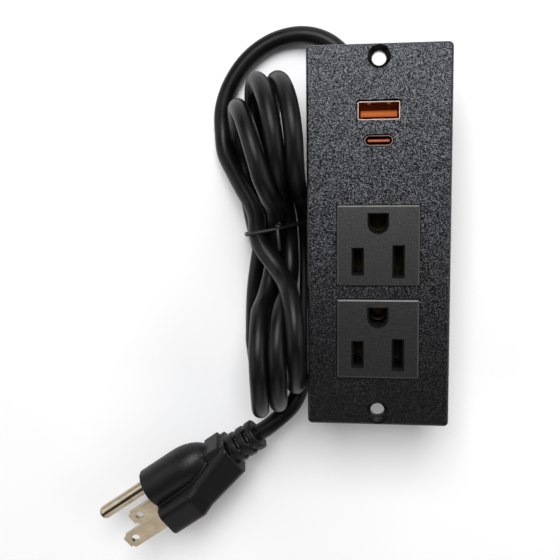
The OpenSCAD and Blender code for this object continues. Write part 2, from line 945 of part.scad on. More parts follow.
// The hank's outline seen from its side: round folds, and the waist that the tie draws in
module hank_outline() {
  difference() {
    union() {
      for (y = [hank_low + fold_r, hank_high - fold_r])
        translate([y, fold_r])
          circle(fold_r);
      translate([hank_low + fold_r, 0])
        square([hank_high - hank_low - 2 * fold_r, hank_height]);
    }
    translate([tie_y, hank_waist + dip_r])
      circle(dip_r);
  }
}

module cord_hank() {
  groove = tie_wire + tie_room;
  color(cord_black)
  difference() {
    translate([hank_x - hank_half, 0, 0])
      rotate([90, 0, 90])
        linear_extrude(hank_width)
          hank_outline();
    difference() {
      span([hank_x - hank_width, tie_y - tie_width / 2 - tie_room, -cut],
        [hank_x + hank_width, tie_y + tie_width / 2 + tie_room, hank_height + cut]);
      span([hank_x - hank_half + groove, tie_y - tie_width, groove],
        [hank_x + hank_half - groove, tie_y + tie_width, hank_waist - groove]);
    }
  }
}

module cord_tail() {
  stop = plug_point([-tail_end, plug_axis, 0]);
  heading = plug_axis_dir();
  color(cord_black)
    tube(concat([tail_start], tail_route, [stop - tail_lead * heading, stop]), cord_diameter / 2, tail_sides,
      unit(tail_route[0] - tail_start), heading, tail_normal, heading);
}

// A point of the plug's own frame, set on the surface
function plug_point(p) =
  let (
    y = p[1] * cos(plug_roll) + p[2] * sin(plug_roll),
    z = -p[1] * sin(plug_roll) + p[2] * cos(plug_roll)
  )
  [plug_x + p[0] * cos(plug_yaw) - y * sin(plug_yaw),
    plug_y + p[0] * sin(plug_yaw) + y * cos(plug_yaw), plug_z + z];

// Direction the prongs point
function plug_axis_dir() = [cos(plug_yaw), sin(plug_yaw), 0];

module twist_tie() {
  color(cord_black) {
    difference() {
      span([hank_x - hank_half + tie_room, tie_y - tie_width / 2, tie_room],
        [hank_x + hank_half - tie_room, tie_y + tie_width / 2, hank_waist - tie_room]);
      span([hank_x - hank_half + tie_room + tie_wire, tie_y - tie_width, tie_room + tie_wire],
        [hank_x + hank_half - tie_room - tie_wire, tie_y + tie_width, hank_waist - tie_room - tie_wire]);
    }
    translate([hank_x, tie_y, hank_waist - tie_room - hair])
      cylinder(d = 2 * tie_wire, h = 2 * tie_wire);
  }
}

module plug_body() {
  color(cord_black)
  plug_place()
  difference() {
    union() {
      hull() {
        plug_section(-plug_front, 0, plug_near, plug_far, plug_half, plug_corner);
        plug_section(-plug_shoulder, -plug_shoulder + plug_slice, shoulder_near, shoulder_far,
          shoulder_half, plug_corner);
      }
      hull() {
        plug_section(-plug_shoulder, -plug_shoulder + plug_slice, shoulder_near, shoulder_far,
          shoulder_half, plug_corner);
        plug_section(-plug_waist, -plug_waist + plug_slice, waist_near, waist_far, waist_half, plug_corner);
      }
      hump();
      plug_section(-collar_end, -collar_start, plug_axis - collar_half - collar_drop, plug_axis + collar_half,
        collar_half, collar_corner);
      plug_tail();
    }
    bridge_form(bridge_play);
    for (s = [-1, 1])
      blade_form(s, bridge_play, 0);
    translate([-pin_root, 0, 0])
      rotate([0, 90, 0])
        cylinder(r = pin_root_r + bridge_play, h = pin_root + cut);
  }
}

// The round back over the earth pin: straight at the front, drawn in to a rounded tip at the collar
module hump() {
  $fn = 48;
  rear = [for (i = [0 : hump_steps])
    let (t = 90 * i / hump_steps) [hump_r * cos(t), hump_length + hump_taper * sin(t)]];
  translate([0, hump_y, 0])
    rotate([0, -90, 0])
      rotate_extrude()
        polygon(concat([[0, 0], [hump_r, 0]], rear));
}

// A slice of the plug along its axis
module plug_section(from, to, near, far, half, r) {
  $fn = 32;
  translate([from, (near + far) / 2, 0])
    rotate([90, 0, 90])
      linear_extrude(to - from)
        round_rect(far - near, 2 * half, r);
}

// The plug's ribbed tail round the cord
module plug_tail() {
  translate([-tail_end, plug_axis, 0])
    rotate([0, 90, 0])
      cylinder(r1 = tail_thin_r, r2 = tail_thick_r, h = tail_end - plug_waist + cut);
  for (i = [0 : tail_ribs - 1])
    translate([-tail_end + i * tail_rib_pitch, plug_axis, 0])
      rotate([0, 90, 0])
        cylinder(r = tail_rib_r, h = tail_rib_t);
  for (turn = [0, 90])
    translate([-(tail_end + plug_waist) / 2, plug_axis, 0])
      rotate([turn, 0, 0])
        cube([tail_end - plug_waist, 2 * tail_web_r, tail_web], center = true);
}

// A blade's form: one side of the plug, grown by a margin, from inside to its end
module blade_form(s, grow, out) {
  span([-blade_inside, ground_offset - blade_width / 2 - grow, s * blade_x - blade_thick / 2 - grow],
    [out > 0 ? out : cut, ground_offset + blade_width / 2 + grow, s * blade_x + blade_thick / 2 + grow]);
}

// The bridge's form: wide round the blades and narrow round the pin, grown by a margin
module bridge_form(grow) {
  back = -bridge_skin - bridge_length - grow;
  front = -bridge_skin + grow;
  span([back, bridge_step - grow, -bridge_half_z - grow], [front, bridge_far + grow, bridge_half_z + grow]);
  span([back, bridge_near - grow, -bridge_stem_z - grow], [front, bridge_step + hair, bridge_stem_z + grow]);
}

module plug_bridge() {
  color(insulator)
  plug_place()
  difference() {
    bridge_form(0);
    for (s = [-1, 1])
      blade_form(s, bridge_play / 2, 0);
    translate([-pin_root - bridge_skin, 0, 0])
      rotate([0, 90, 0])
        cylinder(r = pin_root_r + bridge_play / 2, h = pin_root + bridge_skin + cut);
  }
}

// A flat prong with its hole and slanted tip
module plug_blade(s) {
  plug_place()
  difference() {
    blade_form(s, 0, blade_length);
    translate([blade_length - blade_hole_back, ground_offset, s * blade_x])
      cylinder(r = blade_hole_r, h = 2 * blade_thick, center = true);
    for (side = [-1, 1])
      translate([blade_length, ground_offset + side * blade_width / 2, s * blade_x])
        rotate(side * tip_turn)
          cube([tip_long, tip_wide, 2 * blade_thick], center = true);
  }
}

module plug_hot_blade() {
  color(prong)
    plug_blade(-1);
}

module plug_neutral_blade() {
  color(prong)
    plug_blade(1);
}

module plug_ground_pin() {
  color(prong)
  plug_place() {
    translate([-pin_root, 0, 0])
      rotate([0, 90, 0])
        cylinder(r = pin_root_r, h = pin_root + hair);
    rotate([0, 90, 0])
      cylinder(r = pin_diameter / 2, h = pin_length - pin_diameter / 2);
    translate([pin_length - pin_diameter / 2, 0, 0])
      sphere(pin_diameter / 2);
  }
}

face_plate();
rear_housing();
housing_screws();
socket_upper();
socket_lower();
contact_base();
hot_bus();
neutral_bus();
ground_bus();
usb_board();
usb_a_shell();
usb_a_tongue();
usb_a_contacts();
usb_c_shell();
usb_c_tongue();
usb_c_contacts();
transformer_core();
transformer_coil();
capacitors();
charger_chips();
board_screws();
board_links();
hot_wire();
neutral_wire();
ground_wire();
strain_relief();
cord_lead();
cord_hank();
cord_tail();
twist_tie();
plug_body();
plug_bridge();
plug_hot_blade();
plug_neutral_blade();
plug_ground_pin();
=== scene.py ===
import math

import bpy
import numpy as np
from mathutils import Matrix, Vector


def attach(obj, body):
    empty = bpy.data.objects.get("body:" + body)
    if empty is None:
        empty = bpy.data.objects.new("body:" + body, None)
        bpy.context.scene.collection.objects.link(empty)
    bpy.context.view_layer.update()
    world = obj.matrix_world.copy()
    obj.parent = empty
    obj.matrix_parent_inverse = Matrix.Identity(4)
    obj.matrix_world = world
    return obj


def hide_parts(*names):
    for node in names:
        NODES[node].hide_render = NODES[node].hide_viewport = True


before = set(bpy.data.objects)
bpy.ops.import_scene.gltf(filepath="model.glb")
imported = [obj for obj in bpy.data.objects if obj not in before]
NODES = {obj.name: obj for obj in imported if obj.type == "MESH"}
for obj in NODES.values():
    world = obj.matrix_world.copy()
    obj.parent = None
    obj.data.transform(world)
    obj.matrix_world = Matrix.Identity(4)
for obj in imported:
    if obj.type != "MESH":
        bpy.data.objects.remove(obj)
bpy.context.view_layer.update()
MM = 0.001
BODY = "root"

# Camera, fitted to the plate's corners and the outlet pattern of the photograph
CAMERA_PLACE = (-0.92, 15.656, 277.61)
CAMERA_ROWS = (
    (0.992553, -0.004677, 0.121722),
    (-0.009464, 0.993281, 0.115338),
    (-0.121444, -0.115631, 0.985840),
)
CAMERA_LENS, CAMERA_SENSOR, CAMERA_NEAR = 49.8214, 36.0, 0.01

cam_data = bpy.data.cameras.new("camera")
cam_data.lens = CAMERA_LENS
cam_data.sensor_width = CAMERA_SENSOR
cam_data.clip_start = CAMERA_NEAR
cam = bpy.data.objects.new("camera", cam_data)
bpy.context.collection.objects.link(cam)
cam.matrix_world = Matrix.Translation(Vector(CAMERA_PLACE) * MM) @ Matrix(CAMERA_ROWS).to_4x4()
bpy.context.scene.camera = cam

# Cord: its length in metres, and the rest in millimetres
CORD_D = 6.0
BEND = 18.8
# The two free stretches, and how far the cord goes on into the strain relief and the plug
LEAD_START = (-8.215, 56.8, 7.4)
LEAD_HEADING = (-0.5, 0.8660254, 0.0)
LEAD = (
    LEAD_START, (-12.6, 62, 6.2), (-18.6, 66.6, 5), (-27, 68.6, 4), (-36.5, 66.8, 3.2),
    (-45, 61.3, 3.05), (-51.3, 53, 3), (-54.5, 44, 3), (-54.6, 36, 3.2), (-53.4, 28.5, 5.5),
    (-49.9, 22.3, 8.8), (-44.4, 13.6, 14), (-38.6, 6, 17),
)
TAIL = (
    (-24.6, -20, 4), (-24.8, -36, 5), (-25.4, -47, 7.5), (-28.1, -57, 11.2),
    (-31.6, -61.9, 12.4), (-37.85, -67.24, 13.56), (-41.97, -70.07, 13.56),
)
PLUG_YAW = math.radians(214.5)
INTO_ENDS = 2.5
# One entry for each turn of the hank: where its low and its high leg lie across, how far its
# fold reaches along, and how far the fold leans across
TOP_LOW = (-42.2, -48.4, -36.0)
TOP_HIGH = (-31.6, -37.6, -25.9)
TOP_END = (48.0, 42.5, 52.5)
TOP_LEAN = (0.0, 0.0, -2.0)
FOOT_LOW = (-31.2, -37.0, -42.8)
FOOT_HIGH = (-25.9, -31.6, -37.4)
FOOT_END = (-52.5, -56.0, -57.0)
FOOT_LEAN = (1.0, 3.0, 5.0)
LEG_LOW, LEG_HIGH = 3.0, 36.5
# Where the runs pass under the tie, across and above the floor, and the room that it leaves them
TIE_Y = 3.0
TIE_LOW = ((-36.5, 4.0), (-42.6, 4.0), (-39.5, 9.3))
TIE_HIGH = ((-36.4, 17.0), (-30.4, 6.0), (-33.5, 11.0), (-24.3, 4.6))
TIE_REACH = 3.0
TIE_X = (-44.5, -21.6)
TIE_Z = (4.2, 21.5)
# What the cord lies against
HOUSING_SIDE, HOUSING_LOW, HOUSING_END, HOUSING_TOP = -17.0, -49.0, 36.0, 30.0
PLATE_SIDE, PLATE_BACK, PLATE_END, PLATE_ABOVE = -22.5, 26.0, 60.0, 40.0
CLEARANCE = 0.2
# How the cord settles: the cuts of its line, the rounds, and the share mended in each round
STEP, FINE_STEP = 4.0, 1.6
SPAN_CUTS, FOLD_POINTS = 24, 9
LEAD_FIXED, TAIL_FIXED = 26, 6
ROUNDS, CONTACT_ROUNDS, LENGTH_ROUNDS = 2000, 2, 6
BEND_SPANS, BEND_PUSH, BEND_EASE = 6, 0.9, 0.8
STRAIGHTEN, CONTACT_PUSH, TIE_PULL = 0.02, 0.25, 0.15
NEIGHBOURS = 4.2 * CORD_D
TINY = 1e-9


def resample(points, step):
    """A smooth line through the points, cut into equal steps."""
    p = np.asarray(points, float)
    q = np.vstack([2 * p[0] - p[1], p, 2 * p[-1] - p[-2]])
    out = []
    for i in range(1, len(q) - 2):
        a, b, c, d = q[i - 1:i + 3]
        for u in np.linspace(0, 1, SPAN_CUTS, endpoint=False):
            out.append(0.5 * (2 * b + (c - a) * u + (2 * a - 5 * b + 4 * c - d) * u * u
                              + (3 * b - a - 3 * c + d) * u ** 3))
    out = np.array(out + [p[-1]])
    s = np.r_[0, np.cumsum(np.linalg.norm(np.diff(out, axis=0), axis=1))]
    t = np.linspace(0, s[-1], int(round(s[-1] / step)) + 1)
    return np.stack([np.interp(t, s, out[:, k]) for k in range(3)], 1)


def half_turn(a, b, y0, end, lean):
    """The fold of a turn from leg a to leg b, both given as (x, z)."""
    a, b = np.array([a[0], y0, a[1]]), np.array([b[0], y0, b[1]])
    mid, half = (a + b) / 2, (a - b) / 2
    return [mid + half * math.cos(t) + np.array([lean, end - y0, 0]) * math.sin(t)
            for t in np.linspace(0, math.pi, FOLD_POINTS)]


def under_tie(place):
    """A place under the tie, given as (x, z)."""
    return np.array([place[0], TIE_Y, place[1]])


def first_route():
    """The lead, three standing turns that pass under the tie, and the tail to the plug."""
    pts = [np.array(p, float) for p in LEAD]
    for k in range(len(TOP_LOW)):
        pts.append(under_tie(TIE_HIGH[k]))
        pts += half_turn((FOOT_HIGH[k], LEG_HIGH), (FOOT_LOW[k], LEG_LOW),
                         FOOT_END[k] + BEND, FOOT_END[k], FOOT_LEAN[k])
        pts.append(under_tie(TIE_LOW[k]))
        pts += half_turn((TOP_LOW[k], LEG_LOW), (TOP_HIGH[k], LEG_HIGH),
                         TOP_END[k] - BEND, TOP_END[k], TOP_LEAN[k])
    pts.append(under_tie(TIE_HIGH[-1]))
    return pts + [np.array(p, float) for p in TAIL]


def ease_bends(p, w, chords):
    """Opens each bend that is tighter than BEND, over several spans."""
    for k, least in chords:
        d = p[2 * k:] - p[:-2 * k]
        span = np.linalg.norm(d, axis=1)
        wa, wb = w[:-2 * k], w[2 * k:]
        short = np.clip(least - span, 0, None)
        push = BEND_PUSH * short / np.maximum(span, TINY) / np.maximum(wa + wb, TINY)
        move = np.zeros_like(p)
        move[:-2 * k] -= (push * wa)[:, None] * d
        move[2 * k:] += (push * wb)[:, None] * d
        p += BEND_EASE * move


def part_runs(p, w, iu, ju):
    """Pushes runs that would pass through each other a diameter apart."""
    d = p[iu] - p[ju]
    square = np.einsum("ij,ij->i", d, d)
    hit = square < CORD_D * CORD_D
    if not hit.any():
        return
    i, j = iu[hit], ju[hit]
    gap = np.sqrt(np.maximum(square[hit], TINY))
    push = (CONTACT_PUSH * (CORD_D - gap) / gap)[:, None] * d[hit]
    move, n = np.zeros_like(p), np.zeros(len(p))
    for index, sign in ((i, 1), (j, -1)):
        np.add.at(move, index, sign * push)
        np.add.at(n, index, 1)
    p += move / np.maximum(1, n / 2)[:, None] * w[:, None]


def keep_out(p, free):
    """Keeps the cord above the floor, beside the housing and under or beside the plate's rim."""
    clear = CORD_D / 2 + CLEARANCE
    p[:, 2] = np.where(free, np.maximum(p[:, 2], CORD_D / 2), p[:, 2])
    left, low = p[:, 0] - HOUSING_SIDE + clear, p[:, 1] - HOUSING_LOW + clear
    beside = (p[:, 1] < HOUSING_END + clear) & (p[:, 2] < HOUSING_TOP) & free
    inside = (left > 0) & (low > 0) & beside
    p[inside & (low < left), 1] = HOUSING_LOW - clear
    p[inside & (low >= left), 0] = HOUSING_SIDE - clear
    side, under = p[:, 0] - PLATE_SIDE + clear, p[:, 2] - PLATE_BACK + clear
    beside = (np.abs(p[:, 1]) < PLATE_END + clear) & (p[:, 2] < PLATE_ABOVE) & free
    inside = (side > 0) & (under > 0) & beside
    p[inside & (under < side), 2] = PLATE_BACK - clear
    p[inside & (under >= side), 0] = PLATE_SIDE - clear


def hold_length(p, w, link):
    """Brings every link of the line back to its length."""
    for _ in range(LENGTH_ROUNDS):
        for first in (0, 1):
            n = min(len(p[first:-1:2]), len(p[first + 1::2]))
            a, b = p[first:-1:2][:n], p[first + 1::2][:n]
            d = b - a
            length = np.linalg.norm(d, axis=1)
            wa, wb = w[first:-1:2][:n], w[first + 1::2][:n]
            q = (length - link) / np.maximum(length, TINY) / np.maximum(wa + wb, TINY)
            a += (q * wa)[:, None] * d
            b -= (q * wb)[:, None] * d


def settle(p, fixed):
    """Lets the cord find its lie: its length held, no tight bend, clear of all that it meets."""
    link = np.mean(np.linalg.norm(np.diff(p, axis=0), axis=1))
    w = np.where(fixed, 0.0, 1.0)
    free = w > 0
    iu, ju = np.triu_indices(len(p), k=int(math.ceil(NEIGHBOURS / link)))
    chords = [(k, 2 * BEND * math.sin(min(k * link / BEND, math.pi / 2)))
              for k in range(1, BEND_SPANS + 1)]
    for _ in range(ROUNDS):
        ease_bends(p, w, chords)
        p[1:-1] += STRAIGHTEN * (0.5 * (p[:-2] + p[2:]) - p[1:-1]) * w[1:-1, None]
        for _ in range(CONTACT_ROUNDS):
            part_runs(p, w, iu, ju)
            keep_out(p, free)
        near = (np.abs(p[:, 1] - TIE_Y) < TIE_REACH) & free
        for axis, (low, high) in ((0, TIE_X), (2, TIE_Z)):
            v = p[:, axis]
            p[:, axis] = np.where(near, v + TIE_PULL * (np.clip(v, low, high) - v), v)
        hold_length(p, w, link)
    return p


route = resample(first_route(), STEP)
fixed = np.zeros(len(route), bool)
fixed[:LEAD_FIXED] = True
fixed[-TAIL_FIXED:] = True
route = settle(route, fixed)
plug_heading = np.array([math.cos(PLUG_YAW), math.sin(PLUG_YAW), 0.0])
line = resample(np.vstack([
    np.array(LEAD_START) - INTO_ENDS * np.array(LEAD_HEADING),
    route,
    route[-1] + INTO_ENDS * plug_heading,
]), FINE_STEP)

# Fineness of the round sections
CORD_FACETS, WIRE_FACETS = 8, 4


def curve(name, splines, radius, facets, closed=()):
    """Poly splines given in millimetres, with a round section."""
    data = bpy.data.curves.new(name, "CURVE")
    data.dimensions = "3D"
    data.bevel_depth = radius * MM
    data.bevel_resolution = facets
    data.use_fill_caps = True
    for i, pts in enumerate(splines):
        s = data.splines.new("POLY")
        s.points.add(len(pts) - 1)
        for point, co in zip(s.points, pts):
            point.co = (*(np.asarray(co) * MM), 1.0)
        s.use_cyclic_u = i in closed
        s.use_smooth = True
    obj = bpy.data.objects.new(name, data)
    bpy.context.collection.objects.link(obj)
    return obj


cord = curve("mains_cord", [line], CORD_D / 2, CORD_FACETS)
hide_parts("cord_lead", "cord_hank", "cord_tail")

# Twist tie: a wire loop drawn tight round the runs, its twisted ends and one loose end
WIRE_R = 0.6
WIRE_ROOM = 1.05 * WIRE_R
TIE_SLOPE, TIE_MIDDLE = 0.2, -33.0
LEAD_LEFT = -50.0
KNOT_SHIFT, KNOT_RISE = 1.2, 1.5 * WIRE_R
TWIST_LENGTH, TWIST_TURNS, TWIST_SIDE, TWIST_RISE = 9.0, 3.5, 0.6, 0.7
TWIST_DRIFT, TWIST_LIFT, TWIST_CLIMB = 0.5, 0.4, 0.6
LOOSE_LENGTH, LOOSE_START, LOOSE_DRIFT = 7.0, -0.2, 0.6
LOOSE_LIFT, LOOSE_ARCH = 0.7, 0.5
LOOP_POINTS, TWIST_POINTS, LOOSE_POINTS = 40, 60, 16
DIGITS = 5


def tie_plane(x):
    """The tie's place along, which slants across the hank."""
    return TIE_Y + TIE_SLOPE * (x - TIE_MIDDLE)


def tie_crossings():
    """Where the cord's runs pass through the tie's plane, as (x, z)."""
    side = line[:, 1] - tie_plane(line[:, 0])
    found = []
    for i in np.nonzero(side[:-1] * side[1:] < 0)[0]:
        t = side[i] / (side[i] - side[i + 1])
        q = line[i] + t * (line[i + 1] - line[i])
        if q[0] > LEAD_LEFT:
            found.append((q[0], q[2]))
    return found


def hull2(points):
    """The convex outline of points in a plane."""
    pts = sorted(set((round(x, DIGITS), round(y, DIGITS)) for x, y in points))

    def half(seq):
        out = []
        for p in seq:
            while len(out) > 1 and ((out[-1][0] - out[-2][0]) * (p[1] - out[-2][1])
                                    - (out[-1][1] - out[-2][1]) * (p[0] - out[-2][0])) <= 0:
                out.pop()
            out.append(p)
        return out[:-1]

    return half(pts) + half(pts[::-1])


crossings = tie_crossings()
reach = CORD_D / 2 + WIRE_ROOM
outline = hull2([(x + reach * math.cos(a), z + reach * math.sin(a)) for x, z in crossings
                 for a in np.linspace(0, 2 * math.pi, LOOP_POINTS, endpoint=False)])
loop = [(x, tie_plane(x), max(z, WIRE_R)) for x, z in outline]
top_x, top_z = max(crossings, key=lambda c: c[1])
knot_x = top_x + KNOT_SHIFT
knot = np.array([knot_x, tie_plane(knot_x), top_z + CORD_D / 2 + KNOT_RISE])
twist = []
for start in (0.0, math.pi):
    turns = [(t, 2 * math.pi * TWIST_TURNS * t + start) for t in np.linspace(0, 1, TWIST_POINTS)]
    twist.append([knot + np.array([TWIST_DRIFT * t + TWIST_SIDE * math.cos(a), TWIST_LENGTH * t,
                                   TWIST_LIFT + TWIST_RISE * math.sin(a) + TWIST_CLIMB * t])
                  for t, a in turns])
loose = [knot + np.array([LOOSE_DRIFT * t + LOOSE_START, -LOOSE_LENGTH * t,
                          LOOSE_LIFT + LOOSE_ARCH * math.sin(math.pi * t)])
         for t in np.linspace(0, 1, LOOSE_POINTS)]
tie = curve("twist_tie_wire", [loop] + twist + [loose], WIRE_R, WIRE_FACETS, closed=(0,))
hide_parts("twist_tie")

# Materials: the fine grain of the mouldings, the middle range of a noise, the sockets of the mix
# node for colours, and the heights between which the ports' pieces change colour, from painted
# shade and a painted reflection deep in the port to their colour near the rim, in millimetres
GRAIN_SCALE = 3330
NOISE_LOW, NOISE_HIGH = 0.3, 0.7
MIX_FACTOR, MIX_A, MIX_B, MIX_RESULT = 0, 6, 7, 2
TONGUE_DEEP, TONGUE_END = 26.0, 30.2
SHELL_WALL, SHELL_RIM = 30.6, 31.4
# Scales of the drawn lines in the metal, along each axis
DRAWN_UP = (300, 300, 2200)
DRAWN_UP_FINE = (400, 400, 2200)
DRAWN_ACROSS = (900, 160, 160)
DRAWN_ALONG_PLUG = (60, 2400, 2400)


class Mat:
    """A procedural material: a principled shader fed by textures in the object's own frame."""

    def __init__(self, name, **sockets):
        self.m = bpy.data.materials.new(name)
        self.m.use_nodes = True
        self.nt = self.m.node_tree
        self.bsdf = self.nt.nodes["Principled BSDF"]
        self.coord = self.nt.nodes.new("ShaderNodeTexCoord").outputs["Object"]
        for key, value in sockets.items():
            self.bsdf.inputs[key.replace("_", " ")].default_value = value

    def node(self, kind, **props):
        n = self.nt.nodes.new(kind)
        for k, v in props.items():
            setattr(n, k, v)
        return n

    def link(self, a, b):
        self.nt.links.new(a, b)

    def stretched(self, scale, turn=0.0):
        """The object's own coordinates, turned about Z and scaled along each axis."""
        n = self.node("ShaderNodeMapping")
        n.inputs["Rotation"].default_value = (0, 0, turn)
        n.inputs["Scale"].default_value = scale
        self.link(self.coord, n.inputs["Vector"])
        return n.outputs["Vector"]

    def noise(self, scale, detail, rough, coord=None, output="Fac"):
        n = self.node("ShaderNodeTexNoise")
        n.inputs["Scale"].default_value = scale
        n.inputs["Detail"].default_value = detail
        n.inputs["Roughness"].default_value = rough
        self.link(coord or self.coord, n.inputs["Vector"])
        return n.outputs[output]

    def fine(self, scale):
        return self.noise(scale, detail=2.0, rough=0.6)

    def slow(self, scale):
        return self.noise(scale, detail=2.0, rough=0.5)

    def lines(self, scale, turn=0.0):
        """Fine drawn lines."""
        return self.noise(1.0, detail=3.0, rough=0.6, coord=self.stretched(scale, turn))

    def grain(self):
        """Three noises at once, for the lean of the surface in each direction."""
        return self.noise(GRAIN_SCALE, detail=1.0, rough=0.5, output="Color")

    def cells(self, scale):
        n = self.node("ShaderNodeTexVoronoi")
        n.inputs["Scale"].default_value = scale
        self.link(self.coord, n.inputs["Vector"])
        return n.outputs["Distance"]

    def ramp(self, fac, stops):
        """Colours at stops between 0 and 1."""
        n = self.node("ShaderNodeValToRGB")
        e = n.color_ramp.elements
        e[0].position, e[0].color = stops[0][0], (*stops[0][1], 1)
        e[1].position, e[1].color = stops[-1][0], (*stops[-1][1], 1)
        for pos, col in stops[1:-1]:
            e.new(pos).color = (*col, 1)
        self.link(fac, n.inputs["Fac"])
        return n.outputs["Color"]

    def between(self, fac, dark, light):
        """Runs from one colour to the other over the middle range of a noise."""
        return self.ramp(fac, [(NOISE_LOW, dark), (NOISE_HIGH, light)])

    def spread(self, fac, low, high, a=NOISE_LOW, b=NOISE_HIGH):
        """Runs from low to high while the input runs from a to b."""
        n = self.node("ShaderNodeMapRange")
        n.inputs["From Min"].default_value = a
        n.inputs["From Max"].default_value = b
        n.inputs["To Min"].default_value = low
        n.inputs["To Max"].default_value = high
        self.link(fac, n.inputs["Value"])
        return n.outputs["Result"]

    def along(self, axis, low, high):
        """Runs from 0 to 1 between two places on an axis, in millimetres."""
        n = self.node("ShaderNodeSeparateXYZ")
        self.link(self.coord, n.inputs[0])
        return self.spread(n.outputs[axis], 0.0, 1.0, low * MM, high * MM)

    def mix(self, fac, a, b):
        n = self.node("ShaderNodeMix", data_type="RGBA")
        self.link(fac, n.inputs[MIX_FACTOR])
        self.link(a, n.inputs[MIX_A])
        self.link(b, n.inputs[MIX_B])
        return n.outputs[MIX_RESULT]

    def colour(self, out):
        self.link(out, self.bsdf.inputs["Base Color"])

    def rough(self, out):
        self.link(out, self.bsdf.inputs["Roughness"])

    def lean(self, tilt, strength):
        """Tilts the surface from place to place, each its own way."""
        n = self.node("ShaderNodeNormalMap", space="OBJECT")
        n.inputs["Strength"].default_value = strength
        self.link(tilt, n.inputs["Color"])
        self.link(n.outputs["Normal"], self.bsdf.inputs["Normal"])

    def bump(self, height, strength, distance):
        """Adds relief, its distance in millimetres, on top of what leans or bumps already."""
        n = self.node("ShaderNodeBump")
        n.inputs["Strength"].default_value = strength
        n.inputs["Distance"].default_value = distance * MM
        self.link(height, n.inputs["Height"])
        last = self.bsdf.inputs["Normal"]
        if last.is_linked:
            self.link(last.links[0].from_socket, n.inputs["Normal"])
        self.link(n.outputs["Normal"], last)


def shade(colour, share):
    return tuple(share * c for c in colour)


def grained(name, dark, light, grain, rough, bump, tone=60, specular=0.5, lean=0.0):
    """Moulded plastic: a slow drift of tone, a fine grain and its relief, and facets that lean."""
    m = Mat(name, Specular_IOR_Level=specular)
    fine = m.fine(grain)
    drift = m.spread(m.slow(tone), 0.0, 0.35)
    m.colour(m.mix(drift, m.between(fine, dark, light), m.between(fine, light, dark)))
    m.rough(m.spread(fine, *rough))
    if lean:
        m.lean(m.grain(), lean)
    m.bump(fine, *bump)
    return m.m


def metal(name, dark, light, rough, drawn, turn=0.0):
    """Metal with fine drawn lines."""
    m = Mat(name, Metallic=1.0)
    lines = m.lines(drawn, turn)
    m.colour(m.between(m.slow(220), dark, light))
    m.rough(m.spread(lines, *rough))
    m.bump(lines, strength=0.08, distance=0.04)
    return m.m


def plate_material():
    """Spark-eroded grain: fine facets that each lean and shine in their own measure."""
    dark, middle, light = (0.0020, 0.0014, 0.0010), (0.0040, 0.0030, 0.0024), (0.0150, 0.0140, 0.0135)
    smooth = (0.0056, 0.0046, 0.0040)
    m = Mat("plate_spark_grain", Specular_IOR_Level=0.53, Specular_Tint=(0.87, 0.91, 1.0, 1.0))
    facet = m.grain()
    coarse = m.noise(1500, detail=3.0, rough=0.6)
    # The light facets are partly the grain's own tone and partly painted glints of the facets
    base = m.ramp(facet, [(0.36, dark), (0.50, middle), (0.66, light)])
    worn = m.ramp(coarse, [(0.36, dark), (0.66, smooth)])
    m.colour(m.mix(m.spread(m.slow(45), 0.2, 0.45), base, worn))
    m.rough(m.spread(coarse, 0.25, 0.33))
    m.lean(facet, strength=0.165)
    m.bump(coarse, strength=0.22, distance=0.10)
    return m.m


def cord_material():
    """Satin jacket with a fine grain and slow dents."""
    m = Mat("cord_jacket", Specular_IOR_Level=0.21)
    slow = m.noise(130, detail=3.0, rough=0.6)
    m.colour(m.between(slow, (0.0022, 0.0023, 0.0023), (0.0048, 0.0049, 0.0050)))
    m.rough(m.spread(slow, 0.30, 0.42))
    m.bump(m.fine(2600), strength=0.10, distance=0.06)
    m.bump(slow, strength=0.10, distance=0.3)
    return m.m


def tongue_material(name, dark, light, middle, half):
    """Orange moulding with painted shade toward the bottom of its port and toward the edges of its end,
    and a painted highlight band across its end.
    """
    m = Mat(name, Specular_IOR_Level=0.15)
    fine = m.fine(1600)
    # Painted shade: the tongue's colour deep in its port
    painted_depth_shade = m.between(fine, dark, shade(dark, 1.5))
    # Painted highlight: a bright band across the end, with painted shade toward its edges
    edge = shade(light, 0.45)
    painted_highlight_band = m.ramp(m.along("Y", middle - half, middle + half),
                  [(0.0, shade(light, 0.7)), (0.45, shade(light, 1.3)), (0.72, light), (0.86, edge)])
    face = m.mix(m.spread(fine, 0.0, 0.3), painted_highlight_band, m.between(fine, edge, light))
    # Painted shade: darker toward the bottom of the port
    m.colour(m.mix(m.along("Z", TONGUE_DEEP, TONGUE_END), painted_depth_shade, face))
    m.rough(m.spread(fine, 0.46, 0.56))
    m.bump(fine, strength=0.06, distance=0.04)
    return m.m


def shell_material(name, rim, inside, metallic):
    """Drawn steel: a bright rim, and walls below it with a painted reflection of the tongue's colour.
    """
    m = Mat(name, Metallic=metallic)
    lines = m.lines(DRAWN_UP)
    slow = m.slow(220)
    # Painted reflection: the walls below the rim take the tongue's colour
    painted_wall_reflection = m.between(slow, inside, shade(inside, 1.2))
    edge = m.between(slow, rim, shade(rim, 1.35))
    m.colour(m.mix(m.along("Z", SHELL_WALL, SHELL_RIM), painted_wall_reflection, edge))
    m.rough(m.spread(lines, 0.36, 0.48))
    m.bump(lines, strength=0.08, distance=0.04)
    return m.m


def coil_material():
    """Yellow tape wound in bands."""
    m = Mat("transformer_tape", Roughness=0.4)
    wind = m.node("ShaderNodeTexWave", bands_direction="Z")
    wind.inputs["Scale"].default_value = 420
    wind.inputs["Distortion"].default_value = 0.4
    m.link(m.coord, wind.inputs["Vector"])
    m.colour(m.ramp(wind.outputs["Fac"], [(0.0, (0.55, 0.36, 0.04)), (1.0, (0.80, 0.62, 0.12))]))
    m.bump(wind.outputs["Fac"], strength=0.2, distance=0.1)
    return m.m


